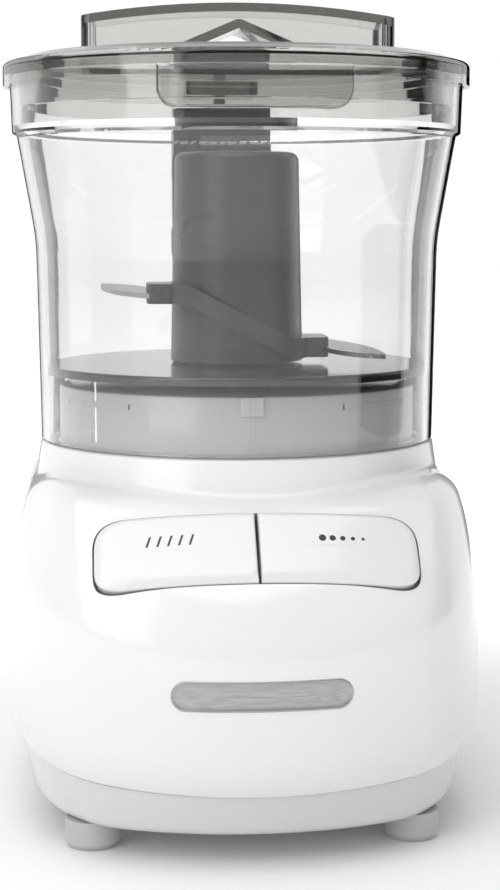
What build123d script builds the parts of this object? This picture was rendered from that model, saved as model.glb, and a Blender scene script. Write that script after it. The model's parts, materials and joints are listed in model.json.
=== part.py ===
from build123d import *
import os
from math import asin, atan2, cos, degrees, pi, radians, sin, sqrt, tan

# A small food processor: a clear bowl and lid on a white motor base, with a geared motor inside.
# Millimetres, +Z up. The Z axis is the axis of the bowl and of the spindle, and z = 0 is the bottom
# of the feet. The two paddles are at the front, which faces -Y, and the bowl's handle is at the back.

# ---------------------------------------------------------------- driving dimensions

WALL = 2.6  # base mouldings
GAP = 0.4  # between pieces that move apart
CLEAR_WALL = 2.2  # bowl and lid

# Heights
TRAY_BOTTOM = 7.5
SEAM = 19.0  # parting line of the base at its front, it rises towards the sides
SEAM_RISE = 4.6
NECK_BOTTOM = 78.0
PLATFORM = 94.0  # flat top behind the neck, under the handle
NECK_TOP = 100.8
BOWL_BOTTOM = 101.1
PLUG_TOP = 116.5
FLOOR_BOTTOM = 119.3
FLOOR_TOP = 121.5
BEND = 156.0  # where the bowl starts to flare
BAND_BOTTOM = 184.0
BOWL_TOP = 200.0
LID_PLATE = 204.8
LID_EDGE = 205.7
GRIP_TOP = 220.0

# Base plan
SEAM_HALF_WIDTH = 60.3
SEAM_REACH = 81.3
BODY_HALF_WIDTH = 64.5
BODY_REACH = 85.0
FRONT_ARC = 92.0  # radius of the bulged front and back
SIDE_ARC = 4000.0  # the sides are all but straight
CORNER = 22.0

# Sloping facet for the paddles
DECK_TILT = 47.5
DECK_REACH = 69.0
DECK_HEIGHT = 80.2
DECK_ARC = 220.0
PADDLE_HALF_WIDTH = 41.0
PADDLE_LENGTH = 20.2

# Neck and plug under the bowl
NECK_RADIUS_LOW = 58.8
NECK_RADIUS_TOP = 55.4
PLUG_RADIUS = 50.0

# Bowl and lid radii
SKIRT_RADIUS = 55.3
BEND_RADIUS = 56.2
FLARE_RADIUS = 61.0
BAND_RADIUS = 62.8
RIM_RADIUS = 64.6
TAB_HALF_WIDTH = 24.5
FLOOR_RADIUS = 53.4  # of the seat for the bowl's floor
LEDGE_RADIUS = 52.9  # inside the skirt, under the floor
GRIP_HALF_LENGTH = 43.0
GRIP_HALF_DEPTH = 11.3

# Blade hub
HUB_RADIUS_LOW = 18.6
HUB_RADIUS_TOP = 17.4
HUB_BOTTOM = 122.3
HUB_TOP = 180.2

# Drive train
SPINDLE_RADIUS = 4.0
RUNNING = 0.05  # radial clearance of a running fit
GEAR_MODULE = 0.8
GEAR_TEETH = 56
PINION_TEETH = 14
MOTOR_Y = GEAR_MODULE * (GEAR_TEETH + PINION_TEETH) / 2
MOTOR_RADIUS = 22.5
GEAR_BOTTOM = 70.0
GEAR_WIDTH = 8.0

# Handle and interlock
HANDLE_Y = 70.5
HANDLE_BACK = 84.8
HANDLE_HALF_WIDTH = 15.5
ROD_Y = 76.0
ROD_RADIUS = 2.0

FOOT_PLACES = [(x, y) for y in (-55.0, 55.0) for x in (-42.0, 42.0)]
PLATE_PLACES = [(x, y) for y in (-16.0, 40.0) for x in (-36.0, 36.0)]

TRAY_WALL = 2.4
BUSH_LOW = 103.0
BUSH_RADIUS = 7.0
PLUNGER_RADIUS = 2.4
PLUNGER_STOP = 82.3  # under side of the plunger's guide
SPRING_SEAT = 67.6
SHELF = 50.5
GLAND_RADIUS = 5.5
GLAND_BORE = 3.2
GLAND_X = 34.0
GLAND_TURN = degrees(asin(GLAND_X / FRONT_ARC))
GLAND_Y = BODY_REACH - FRONT_ARC * (1 - cos(radians(GLAND_TURN)))
GLAND_PLACE = Pos(GLAND_X, GLAND_Y, 34) * Rot(0, 0, -GLAND_TURN) * Rot(-90, 0, 0)

HEX_BOTTOM = 164.8
HEX_TOP = 176.0
PLATE_TOP = GEAR_BOTTOM - 4.4
PLATE_BOTTOM = PLATE_TOP - 3.0
LOWER_BUSH_RADIUS = 6.0
CLIP_HEIGHTS = (GEAR_BOTTOM - 1.2, BUSH_LOW - 1.2)
CLIP_THICK = 1.0
CLIP_GROOVE = 3.2
SPIGOT_RADIUS = 6.0
MOTOR_SCREW_PLACES = [(x, MOTOR_Y) for x in (-13.0, 13.0)]
BEARING_RADIUS = 5.0
SHAFT_RADIUS = 2.5
CAN_BOTTOM = 22.0
CAP_BOTTOM = PLATE_BOTTOM - 5.0
CORE_BOTTOM = 28.0
CORE_TOP = 46.0
ARMATURE_RADIUS = 17.2
ARMATURE_SLOTS = 7
COMMUTATOR_RADIUS = 6.5
BRUSH_LOW = 51.4
BRUSH_HIGH = 56.0
BRUSH_HALF = 2.0
FAN_BOTTOM = 12.6
FAN_TOP = 19.6

CHIMNEY_RADIUS = 7.4
CHIMNEY_TOP = 163.5
RIB_TURNS = (-90.0, -139.0, 90.0)
TRACK_TURNS = (-63.0, -150.0, 45.0)
TRACK_SPAN = 24.0
RIM_BOTTOM = 197.6
LID_RING_BOTTOM = 192.0
GRIP_ARC = 258.0
TUNNEL_PEAK = 216.0
TUNNEL_HALF_WIDTH = 26.5

HANDLE_TOP = 197.2
HANDLE_BOTTOM = 96.6
FINGER_LOW = 118.0
FINGER_HIGH = 181.0
COVER_Y = 81.8
COVER_HALF_WIDTH = 8.0
COVER_LOW = 108.0
COVER_HIGH = 188.0
CHAMBER_RADIUS = 4.3
CHAMBER_LOW = 139.5
CHAMBER_HIGH = 176.0
COLLAR = 170.0
ROD_BOTTOM = 96.3
SWITCH_TOP = 62.0

INSERT_RADIUS = 7.0
INSERT_LOW = 165.2
CARRIER_HEIGHT = 5.5
CARRIER_REACH = 25.4
UPPER_BLADE = 141.0
LOWER_BLADE = 126.0
ROOT_X = 19.4
BLADE_TIP = (38.4, -24.6)
BLADE_THICK = 1.3

PADDLE_PROUD = 1.4
PADDLE_SPLIT = 0.35
SKIRT_LOW = -5.4
PIVOT_Y = 7.4
PIVOT_Z = -7.6
PIN_RADIUS = 1.3
PIN_LENGTH = 1.2
EAR_X = 31.0
SWITCH_X = 20.0
SWITCH_Y = -5.0
POST_LOW = -9.6
STEM_TOP = -10.8
BOARD_TOP = -15.0
BOARD_PLACES = [(x, y) for y in (-14.5, 14.0) for x in (-29.0, 29.0)]

DECK = Plane(
    origin=(0, -DECK_REACH, DECK_HEIGHT),
    x_dir=(1, 0, 0),
    z_dir=(0, -sin(radians(DECK_TILT)), cos(radians(DECK_TILT))),
)
UP = (Align.CENTER, Align.CENTER, Align.MIN)


# ---------------------------------------------------------------- helpers

def save(node, shape):
    """Write one node's solids to its own file."""
    export_step(shape, f"parts/{node}.step")


def rod(radius, low, high, x=0.0, y=0.0):
    """An upright cylinder between two heights."""
    return Pos(x, y, low) * Cylinder(radius, high - low, align=UP)


def ring(outer, inner, low, high, x=0.0, y=0.0):
    """An upright tube between two heights."""
    return rod(outer, low, high, x, y) - rod(inner, low - 1, high + 1, x, y)


def block(x_range, y_range, z_range):
    """A box between pairs of coordinates."""
    size = [high - low for low, high in (x_range, y_range, z_range)]
    corner = Pos(x_range[0], y_range[0], z_range[0])
    return corner * Box(*size, align=(Align.MIN, Align.MIN, Align.MIN))


def section(points, rounded=()):
    """A flat outline through points, some of its corners rounded, as (corner number, radius)."""
    outline = make_face(Polyline(*points, close=True))
    for number, radius in rounded:
        corner = outline.vertices().sort_by_distance(points[number])[0]
        outline = fillet(corner, radius)
    return outline


def rectangle(x_range, y_range, rounded=()):
    """A flat rectangle between pairs of coordinates; its corners are numbered anticlockwise."""
    (left, right), (low, high) = x_range, y_range
    return section([(left, low), (right, low), (right, high), (left, high)], rounded)


def turned(points, rounded=()):
    """A solid of revolution about Z from (radius, height) points."""
    return revolve(Plane.XZ * section(points, rounded), Axis.Z)


def moved_to(places, shape):
    """One copy of a shape at each (x, y) place, as a group of solids."""
    return Compound([Pos(x, y, 0) * shape for x, y in places])


def screw(head_low, length, shank=1.4, head=2.9, head_height=2.0):
    """A screw that points up, with a cross recess in its head."""
    body = rod(head, head_low, head_low + head_height) + rod(shank, head_low, head_low + length)
    recess = Box(3.4, 0.8, 2.0) + Box(0.8, 3.4, 2.0)
    return body - Pos(0, 0, head_low) * recess


def upside_down(shape, height):
    """A shape turned over about a level line at a height."""
    return Pos(0, 0, height) * Rot(180, 0, 0) * Pos(0, 0, -height) * shape


def helix_spring(radius, wire, low, high, turns, x=0.0, y=0.0):
    """A coil spring with its wire's centre on a helix."""
    path = Helix(pitch=(high - low) / turns, height=high - low, radius=radius)
    start = Plane(origin=path @ 0, z_dir=path % 0)
    return Pos(x, y, low) * sweep(start * Circle(wire), path, is_frenet=True)


def plan(half_width, reach):
    """The base's plan: bulged front and back, nearly straight sides and round corners."""
    front = Pos(0, FRONT_ARC - reach) * Circle(FRONT_ARC)
    back = Pos(0, reach - FRONT_ARC) * Circle(FRONT_ARC)
    right = Pos(half_width - SIDE_ARC, 0) * Circle(SIDE_ARC)
    left = Pos(SIDE_ARC - half_width, 0) * Circle(SIDE_ARC)
    outline = front & back & right & left
    return fillet(outline.vertices(), CORNER)


# ---------------------------------------------------------------- base mouldings

def body_form(inset):
    """The upper base: lofted body cut by the sloping facet, with the neck and plug on top."""
    levels = [
        (SEAM - 6, SEAM_HALF_WIDTH - 1.2, SEAM_REACH - 1.2),
        (SEAM + 1, SEAM_HALF_WIDTH + 0.9, SEAM_REACH + 1.2),
        (SEAM + 7, BODY_HALF_WIDTH - 1.0, BODY_REACH - 1.0),
        (SEAM + 20, BODY_HALF_WIDTH, BODY_REACH),
        (SEAM + 41, BODY_HALF_WIDTH - 1.6, BODY_REACH - 0.8),
        (NECK_BOTTOM, BODY_HALF_WIDTH - 3.9, BODY_REACH - 1.6),
        (PLATFORM - 5 - inset, BODY_HALF_WIDTH - 7.0, BODY_REACH - 2.2),
        (PLATFORM - inset, BODY_HALF_WIDTH - 9.4, BODY_REACH - 3.5),
    ]
    body = loft([Pos(0, 0, z) * plan(width - inset, reach - inset) for z, width, reach in levels])
    facet_axis = DECK * Pos(0, 0, -DECK_ARC) * Rot(90, 0, 0)
    facet = facet_axis * Cylinder(DECK_ARC - inset, 4 * BODY_REACH)
    neck = turned([
        (0, NECK_BOTTOM), (NECK_RADIUS_LOW - inset, NECK_BOTTOM),
        (NECK_RADIUS_TOP - inset, NECK_TOP - inset), (PLUG_RADIUS - inset, NECK_TOP - inset),
        (PLUG_RADIUS - inset, PLUG_TOP - inset), (0, PLUG_TOP - inset),
    ])
    return (body & facet) + neck


def seam_cylinder(gap):
    """The curved parting surface of the base: above it is the housing, below it the tray."""
    radius = BODY_HALF_WIDTH ** 2 / (2 * SEAM_RISE)
    return Pos(0, 0, SEAM + radius) * Rot(90, 0, 0) * Cylinder(radius - gap, 4 * BODY_REACH)


def bayonet_lugs():
    """Three lugs round the plug that the bowl's skirt turns onto."""
    lug = ring(PLUG_RADIUS + 1.9, PLUG_RADIUS - 1, PLUG_TOP - 5.3, PLUG_TOP - 0.1)
    wedge = block((0, 2 * PLUG_RADIUS), (-3, 3), (NECK_TOP, PLUG_TOP))
    return [Rot(0, 0, turn) * (lug & wedge) for turn in (30, 150, 270)]


def upper_housing():
    shell = body_form(0) - body_form(WALL)
    bosses = [rod(4.0, 12, PLATFORM, x, y) for x, y in FOOT_PLACES]
    bosses += [rod(4.0, GEAR_BOTTOM - 4.4, PLUG_TOP, x, y) for x, y in PLATE_PLACES]
    bosses += [rod(9.5, BUSH_LOW, PLUG_TOP), rod(4.8, PLUNGER_STOP, PLATFORM, 0, ROD_Y)]
    bosses += [block((-12, 12), (ROD_Y - 8, BODY_REACH), (SHELF - 2.5, SHELF))]
    bosses += [block((-7, 7), (ROD_Y - 6, BODY_REACH), (SPRING_SEAT - 1.6, SPRING_SEAT))]
    for boss in bosses:
        shell += boss & body_form(WALL / 2)
    shell = shell & seam_cylinder(0)
    for x, y in FOOT_PLACES:
        shell -= rod(1.5, 11, 32, x, y)
    for x, y in PLATE_PLACES:
        shell -= rod(1.5, GEAR_BOTTOM - 6, GEAR_BOTTOM + 9, x, y)
    shell -= rod(BUSH_RADIUS, BUSH_LOW - 1, PLUG_TOP + 1)
    shell -= rod(PLUNGER_RADIUS + GAP, SHELF + 5, PLATFORM + 1, 0, ROD_Y)
    shell -= DECK * paddle_opening()
    for piece in pivot_ears():
        shell += DECK * piece
    shell -= cord_gland_hole()
    for lug in bayonet_lugs():
        shell += lug
    return shell


def tray_form(inset):
    """The lower tray: it narrows downwards and turns under with a round edge."""
    levels = [
        (TRAY_BOTTOM + inset, SEAM_HALF_WIDTH - 5.2, SEAM_REACH - 7.6),
        (TRAY_BOTTOM + 0.8 + inset, SEAM_HALF_WIDTH - 3.1, SEAM_REACH - 5.5),
        (TRAY_BOTTOM + 3 + inset, SEAM_HALF_WIDTH - 2.0, SEAM_REACH - 4.4),
        (SEAM + 8, SEAM_HALF_WIDTH + 0.6, SEAM_REACH - 1.6),
    ]
    return loft([Pos(0, 0, z) * plan(width - inset, reach - inset) for z, width, reach in levels])


def base_tray():
    tray = (tray_form(0) - tray_form(TRAY_WALL)) - seam_cylinder(-GAP / 2)
    for x, y in FOOT_PLACES:
        tray += rod(5.5, TRAY_BOTTOM, 12 - GAP / 2, x, y)
        tray -= rod(3.2, TRAY_BOTTOM - 1, TRAY_BOTTOM + 2.4, x, y)
        tray -= rod(1.7, TRAY_BOTTOM - 1, 13, x, y)
    slot = block((-1.5, 1.5), (-15, 15), (TRAY_BOTTOM - 1, TRAY_BOTTOM + TRAY_WALL + 1))
    for number in range(-4, 5):
        tray -= Pos(6 * number, MOTOR_Y, 0) * slot
    return tray


def foot():
    """One rubber foot, stuck over its screw."""
    return turned([(0, 0), (6.2, 0), (7.4, 1.4), (7.0, TRAY_BOTTOM), (0, TRAY_BOTTOM)], [(2, 0.8)])


def cord_gland_hole():
    """The round hole for the cord at the back, low on one side."""
    return GLAND_PLACE * Cylinder(GLAND_RADIUS, 30)


def cord_gland():
    """A flanged grommet with an open bore, where a cord would leave."""
    sleeve = ring(GLAND_RADIUS - 0.02, GLAND_BORE, -5.0, 2.0)
    flange = ring(GLAND_RADIUS + 1.6, GLAND_BORE, 0.2, 2.0)
    return GLAND_PLACE * (sleeve + flange)


# ---------------------------------------------------------------- paddles and their board
# These shapes are drawn on the sloping facet: x across, y up the slope, z out of the surface.

def paddle_opening():
    """The opening in the facet, with more room below the paddles, which swing down into it."""
    low = -PADDLE_LENGTH / 2 - 0.9
    high = PADDLE_LENGTH / 2 + GAP
    half = PADDLE_HALF_WIDTH + 0.6
    outline = rectangle((-half, half), (low, high), [(n, 5.4) for n in range(4)])
    return Pos(0, 0, -8) * extrude(outline, 20)


def pivot_ears():
    """Three ears behind the facet, with holes for the paddles' pins."""
    pin_axis = Pos(0, PIVOT_Y, PIVOT_Z) * Rot(0, 90, 0)
    pin_hole = pin_axis * Cylinder(PIN_RADIUS + RUNNING, 2 * PADDLE_HALF_WIDTH)
    ears = []
    for middle, half, top in ((0, 1.1, -1.4), (-EAR_X - 1, 1, -4.4), (EAR_X + 1, 1, -4.4)):
        span = (middle - half, middle + half)
        ear = block(span, (PIVOT_Y - 2.6, 14), (PIVOT_Z - 2.4, SKIRT_LOW - GAP))
        ears.append(ear + block(span, (PADDLE_LENGTH / 2 + 0.8, 14), (PIVOT_Z - 2.4, top)) - pin_hole)
    posts = [Pos(x, y, 0) * rod(2.8, BOARD_TOP, -4) for x, y in BOARD_PLACES]
    holes = [Pos(x, y, 0) * rod(1.1, BOARD_TOP - 1, -7) for x, y in BOARD_PLACES]
    return ears + [post - hole for post, hole in zip(posts, holes)]


def paddle(side):
    """One rocker paddle: a curved cap with a skirt, two arms with pins and a post over its switch."""
    near, far = side * PADDLE_SPLIT, side * PADDLE_HALF_WIDTH
    low, high = -PADDLE_LENGTH / 2, PADDLE_LENGTH / 2
    corners = [(near, low), (far, low), (far, high), (near, high)]
    outline = section(corners, [(1, 4.8), (2, 4.8)])
    hollow = offset(outline, -1.8)
    crown = DECK_ARC + PADDLE_PROUD
    outside = Pos(0, 0, -DECK_ARC) * Rot(90, 0, 0) * Cylinder(crown, 60)
    inside = Pos(0, 0, -DECK_ARC) * Rot(90, 0, 0) * Cylinder(crown - 2.4, 60)
    cap = Pos(0, 0, SKIRT_LOW) * extrude(outline, 12) & outside
    cap -= Pos(0, 0, -6) * extrude(hollow, 12) & inside
    for x in (EAR_X + 2 + GAP, 1.1 + GAP):
        arm = block((x, x + 2.2), (PIVOT_Y - 2.2, PIVOT_Y + 2.2), (PIVOT_Z - 2.2, -1.0))
        pin = Pos(x - PIN_LENGTH, PIVOT_Y, PIVOT_Z) * Rot(0, 90, 0) * rod(PIN_RADIUS, 0, PIN_LENGTH + 1)
        cap += mirror(arm + pin, Plane.YZ) if side < 0 else arm + pin
    post = rod(2.0, POST_LOW, -1.0)
    return DECK * (cap + Pos(side * SWITCH_X, SWITCH_Y, 0) * post)


def circuit_board():
    board = block((-34, 34), (-17, 16.5), (BOARD_TOP - 1.6, BOARD_TOP))
    for x, y in BOARD_PLACES:
        board -= Pos(x, y, 0) * rod(1.3, BOARD_TOP - 3, BOARD_TOP + 1)
    return DECK * board


def board_components():
    """A capacitor, a choke and a connector under the board."""
    under = BOARD_TOP - 1.6
    capacitor = rod(4.5, under - 9, under, -16, 2)
    choke = ring(6.0, 2.4, under - 5, under, 4, 4)
    connector = block((14, 26), (-4, 4), (under - 7, under))
    return DECK * Compound([capacitor, choke, connector])


def tact_switches():
    """Two push switches, one under each paddle's post."""
    switch = block((-3, 3), (-3, 3), (BOARD_TOP, BOARD_TOP + 3.4)) + rod(1.6, BOARD_TOP, STEM_TOP)
    return DECK * Compound([Pos(side * SWITCH_X, SWITCH_Y, 0) * switch for side in (-1, 1)])


def board_screws():
    screws = [Pos(x, y, 0) * screw(BOARD_TOP - 3.1, 9, 1.05, 2.2, 1.5) for x, y in BOARD_PLACES]
    return DECK * Compound(screws)


# ---------------------------------------------------------------- gears and spindle

def involute(angle):
    """The involute function of a pressure angle."""
    return tan(angle) - angle


def spur_gear(teeth, width, bore, backlash=0.12):
    """A spur gear standing on z = 0 with involute flanks and one tooth centred on +X."""
    pressure = radians(20)
    pitch = GEAR_MODULE * teeth / 2
    base = pitch * cos(pressure)
    root = pitch - 1.25 * GEAR_MODULE
    tip = pitch + 0.9 * GEAR_MODULE
    start = max(base, root)
    half = pi / (2 * teeth) - backlash / (2 * pitch) + involute(pressure)
    flank = [(root, half)] if root < base else []
    for step in range(5):
        radius = start + (tip - start) * step / 4
        angle = atan2(sqrt(max(radius ** 2 - base ** 2, 0)), base)
        flank.append((radius, half - involute(angle)))
    points = []
    for tooth in range(teeth):
        centre = 2 * pi * tooth / teeth
        points += [(radius * cos(centre - turn), radius * sin(centre - turn)) for radius, turn in flank]
        points += [(radius * cos(centre + turn), radius * sin(centre + turn))
                   for radius, turn in reversed(flank)]
    blank = extrude(make_face(Polyline(*points, close=True)), width)
    return blank - Pos(0, 0, -1) * Cylinder(bore, 3 * width)


def drive_spindle():
    shaft = rod(SPINDLE_RADIUS, PLATE_BOTTOM - 2, HEX_BOTTOM)
    hexagon = Pos(0, 0, HEX_BOTTOM) * extrude(RegularPolygon(SPINDLE_RADIUS, 6), HEX_TOP - HEX_BOTTOM)
    spindle = shaft + chamfer(hexagon.faces().sort_by(Axis.Z)[-1].edges(), 0.8)
    for low in CLIP_HEIGHTS:
        spindle -= ring(SPINDLE_RADIUS + 1, CLIP_GROOVE, low, low + CLIP_THICK)
    return spindle


def drive_gear():
    gear = Pos(0, 0, GEAR_BOTTOM) * spur_gear(GEAR_TEETH, GEAR_WIDTH, SPINDLE_RADIUS)
    gear -= ring(18.5, 8.5, GEAR_BOTTOM - 1, GEAR_BOTTOM + 2.5)
    gear -= ring(18.5, 8.5, GEAR_BOTTOM + GEAR_WIDTH - 2.5, GEAR_BOTTOM + GEAR_WIDTH + 1)
    for number in range(6):
        gear -= Rot(0, 0, 60 * number + 30) * rod(3.4, GEAR_BOTTOM, GEAR_BOTTOM + GEAR_WIDTH, 13.5, 0)
    return gear + ring(8.0, SPINDLE_RADIUS, GEAR_BOTTOM + GEAR_WIDTH - 1, GEAR_BOTTOM + GEAR_WIDTH + 5)


def retaining_clips():
    """Two open clips that keep the spindle in place."""
    clips = []
    for low in CLIP_HEIGHTS:
        clip = ring(6.6, CLIP_GROOVE, low + 0.05, low + CLIP_THICK - 0.05)
        clips.append(clip - block((0, 8), (-2.4, 2.4), (low - 1, low + 3)))
    return Compound(clips)


def spindle_bush(low, high):
    radius = BUSH_RADIUS if low > PLATFORM else LOWER_BUSH_RADIUS
    return ring(radius, SPINDLE_RADIUS + RUNNING, low, high)


def spindle_seal():
    bore = SPINDLE_RADIUS + RUNNING
    body = ring(BUSH_RADIUS, bore, PLUG_TOP - 2.2, PLUG_TOP)
    return body + ring(BUSH_RADIUS + 2, bore, PLUG_TOP, PLUG_TOP + 0.9)


def gearbox_plate():
    outline = section([(-41, -21), (41, -21), (41, 45), (-41, 45)], [(n, 5) for n in range(4)])
    plate = Pos(0, 0, PLATE_BOTTOM) * extrude(outline, PLATE_TOP - PLATE_BOTTOM)
    plate -= rod(LOWER_BUSH_RADIUS, PLATE_BOTTOM - 1, PLATE_TOP + 1)
    plate -= rod(SPIGOT_RADIUS, PLATE_BOTTOM - 1, PLATE_TOP + 1, 0, MOTOR_Y)
    for x, y in PLATE_PLACES + MOTOR_SCREW_PLACES:
        plate -= rod(1.7, PLATE_BOTTOM - 1, PLATE_TOP + 1, x, y)
    return plate


# ---------------------------------------------------------------- motor, on its own upright axis

def motor_can():
    can = ring(MOTOR_RADIUS, MOTOR_RADIUS - 1.5, CAN_BOTTOM, CAP_BOTTOM)
    return Pos(0, MOTOR_Y, 0) * (can + ring(MOTOR_RADIUS, BEARING_RADIUS, CAN_BOTTOM, CAN_BOTTOM + 1.5))


def motor_end_cap():
    """The plastic end of the motor, with two guides for the brushes."""
    cap = ring(MOTOR_RADIUS, 18, CAP_BOTTOM, PLATE_BOTTOM) + rod(MOTOR_RADIUS, CAP_BOTTOM + 2, PLATE_BOTTOM)
    for side in (-1, 1):
        near, far = sorted((side * 7.6, side * 18.4))
        cap += block((near, far), (-3.4, 3.4), (BRUSH_LOW - 1.3, CAP_BOTTOM + 3))
        beside = (-BRUSH_HALF - 0.1, BRUSH_HALF + 0.1)
        cap -= block((near - 1, far + 1), beside, (BRUSH_LOW - 0.1, BRUSH_HIGH + 0.1))
    cap -= rod(BEARING_RADIUS, CAP_BOTTOM - 1, PLATE_BOTTOM + 1)
    cap = Pos(0, MOTOR_Y, 0) * cap
    for x, y in MOTOR_SCREW_PLACES:
        cap -= rod(1.5, PLATE_BOTTOM - 5, PLATE_BOTTOM + 1, x, y)
    return cap


def motor_magnets():
    arcs = ring(MOTOR_RADIUS - 1.6, MOTOR_RADIUS - 4.6, CAN_BOTTOM + 4, CAP_BOTTOM - 8)
    return Pos(0, MOTOR_Y, 0) * (arcs - block((-9, 9), (-30, 30), (0, PLATFORM)))


def motor_bearings():
    lower = ring(BEARING_RADIUS, SHAFT_RADIUS + RUNNING, CAN_BOTTOM - 1.5, CAN_BOTTOM + 1.9)
    upper = ring(BEARING_RADIUS, SHAFT_RADIUS + RUNNING, CAP_BOTTOM + 1, PLATE_BOTTOM + 1)
    return Pos(0, MOTOR_Y, 0) * Compound([lower, upper])


def carbon_brushes():
    brush = block((COMMUTATOR_RADIUS + 0.1, 14), (-BRUSH_HALF, BRUSH_HALF), (BRUSH_LOW, BRUSH_HIGH))
    return Pos(0, MOTOR_Y, 0) * Compound([brush, mirror(brush, Plane.YZ)])


def slot_bars(radius, width):
    """Bars where the armature's slots are."""
    bar = block((7.5, radius), (-width / 2, width / 2), (CORE_BOTTOM - 4, CORE_TOP + 4))
    return [Rot(0, 0, 360 * number / ARMATURE_SLOTS) * bar for number in range(ARMATURE_SLOTS)]


def armature_core():
    core = ring(ARMATURE_RADIUS, SHAFT_RADIUS, CORE_BOTTOM, CORE_TOP)
    for bar in slot_bars(ARMATURE_RADIUS + 1, 3.4):
        core -= bar
    return Pos(0, MOTOR_Y, 0) * core


def armature_windings():
    windings = ring(14.5, 4.2, CORE_BOTTOM - 3.6, CORE_BOTTOM) + ring(14.5, 4.2, CORE_TOP, CORE_TOP + 3.6)
    for bar in slot_bars(ARMATURE_RADIUS - 1.6, 3.4):
        windings += bar & rod(ARMATURE_RADIUS, CORE_BOTTOM - 3.6, CORE_TOP + 3.6)
    return Pos(0, MOTOR_Y, 0) * windings


def commutator():
    drum = ring(COMMUTATOR_RADIUS, SHAFT_RADIUS, CORE_TOP + 4, CAP_BOTTOM - 0.5)
    for number in range(ARMATURE_SLOTS * 2):
        deep = (COMMUTATOR_RADIUS - 1, COMMUTATOR_RADIUS + 1)
        slit = block(deep, (-0.2, 0.2), (CORE_TOP + 5, CAP_BOTTOM))
        drum -= Rot(0, 0, 180 * number / ARMATURE_SLOTS) * slit
    return Pos(0, MOTOR_Y, 0) * drum


def cooling_fan():
    """A radial fan on the lower end of the motor's shaft."""
    fan = ring(5, SHAFT_RADIUS, FAN_BOTTOM, FAN_TOP) + ring(18, SHAFT_RADIUS, FAN_TOP - 1.2, FAN_TOP)
    blade = Pos(11, 0, (FAN_BOTTOM + FAN_TOP) / 2) * Rot(0, 0, 18) * Box(13, 1.1, FAN_TOP - FAN_BOTTOM)
    for number in range(9):
        fan += Rot(0, 0, 40 * number) * blade
    return Pos(0, MOTOR_Y, 0) * (fan & rod(18, FAN_BOTTOM, FAN_TOP))


def pinion():
    return Pos(0, MOTOR_Y, GEAR_BOTTOM - 1) * spur_gear(PINION_TEETH, GEAR_WIDTH + 2.5, SHAFT_RADIUS)


# ---------------------------------------------------------------- bowl and lid

def bowl_outside():
    """The bowl's outer form as one solid, for fitting the handle to it."""
    return turned([
        (0, BOWL_BOTTOM), (SKIRT_RADIUS, BOWL_BOTTOM), (BEND_RADIUS, BEND), (FLARE_RADIUS, BAND_BOTTOM),
        (BAND_RADIUS - 0.5, BAND_BOTTOM + 0.8), (BAND_RADIUS, BOWL_TOP), (0, BOWL_TOP),
    ], [(2, 60)])


def work_bowl():
    """The bowl: skirt with ribs and bayonet tracks, flared side, and a band at the mouth."""
    inside = turned([
        (0, FLOOR_BOTTOM), (FLOOR_RADIUS, FLOOR_BOTTOM), (BEND_RADIUS - CLEAR_WALL, BEND),
        (FLARE_RADIUS - CLEAR_WALL, BAND_BOTTOM), (BAND_RADIUS - CLEAR_WALL - 0.2, BAND_BOTTOM + 3),
        (BAND_RADIUS - CLEAR_WALL, BOWL_TOP + 1), (0, BOWL_TOP + 1),
    ], [(2, 60)])
    bowl = bowl_outside() - inside - rod(LEDGE_RADIUS, BOWL_BOTTOM - 1, FLOOR_BOTTOM)
    rib = block((PLUG_RADIUS + 2.2, LEDGE_RADIUS + 0.3), (-0.6, 0.6), (BOWL_BOTTOM + 2, FLOOR_BOTTOM))
    for turn in RIB_TURNS:
        bowl += Rot(0, 0, turn) * rib
    track = ring(LEDGE_RADIUS + 0.3, PLUG_RADIUS + 2.2, PLUG_TOP - 4, PLUG_TOP - 2.6)
    sector = section([(0, 0), (80, 0), (80, 80 * tan(radians(TRACK_SPAN)))])
    for turn in TRACK_TURNS:
        bowl += Rot(0, 0, turn) * (track & extrude(sector, BOWL_TOP))
    return bowl


def bowl_floor():
    """The dark floor that is welded into the bowl, with a chimney that the spindle stands in."""
    disc = rod(FLOOR_RADIUS - 0.05, FLOOR_BOTTOM, FLOOR_TOP)
    disc = fillet(disc.faces().sort_by(Axis.Z)[-1].edges(), 0.8)
    floor = disc + rod(CHIMNEY_RADIUS, FLOOR_BOTTOM, CHIMNEY_TOP)
    return floor - rod(CHIMNEY_RADIUS - CLEAR_WALL, BOWL_BOTTOM, BOWL_TOP)


def grip_form(inset):
    """The lid's bridge grip as a block with an arched top."""
    width, depth = GRIP_HALF_LENGTH - inset, GRIP_HALF_DEPTH - inset
    outline = rectangle((-width, width), (-depth, depth), [(n, 3 - inset / 2) for n in range(4)])
    form = Pos(0, 0, LID_PLATE - 4) * extrude(outline, GRIP_TOP)
    level = Pos(0, 0, GRIP_TOP - GRIP_ARC) * Rot(90, 0, 0)
    arch = level * Cylinder(GRIP_ARC - inset, 4 * GRIP_HALF_DEPTH)
    return form & arch


def tunnel_form(inset):
    """The inverted V that runs through the grip from front to back."""
    drop = inset / cos(atan2(TUNNEL_PEAK - LID_PLATE, TUNNEL_HALF_WIDTH))
    slope = (TUNNEL_PEAK - LID_PLATE) / TUNNEL_HALF_WIDTH
    peak = TUNNEL_PEAK - drop
    half = (peak - LID_PLATE) / slope
    outline = section([(-half, LID_PLATE), (half, LID_PLATE), (0, peak)], [(2, 2.5)])
    return extrude(Plane.XZ * outline, GRIP_HALF_DEPTH + 5, both=True)


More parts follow.
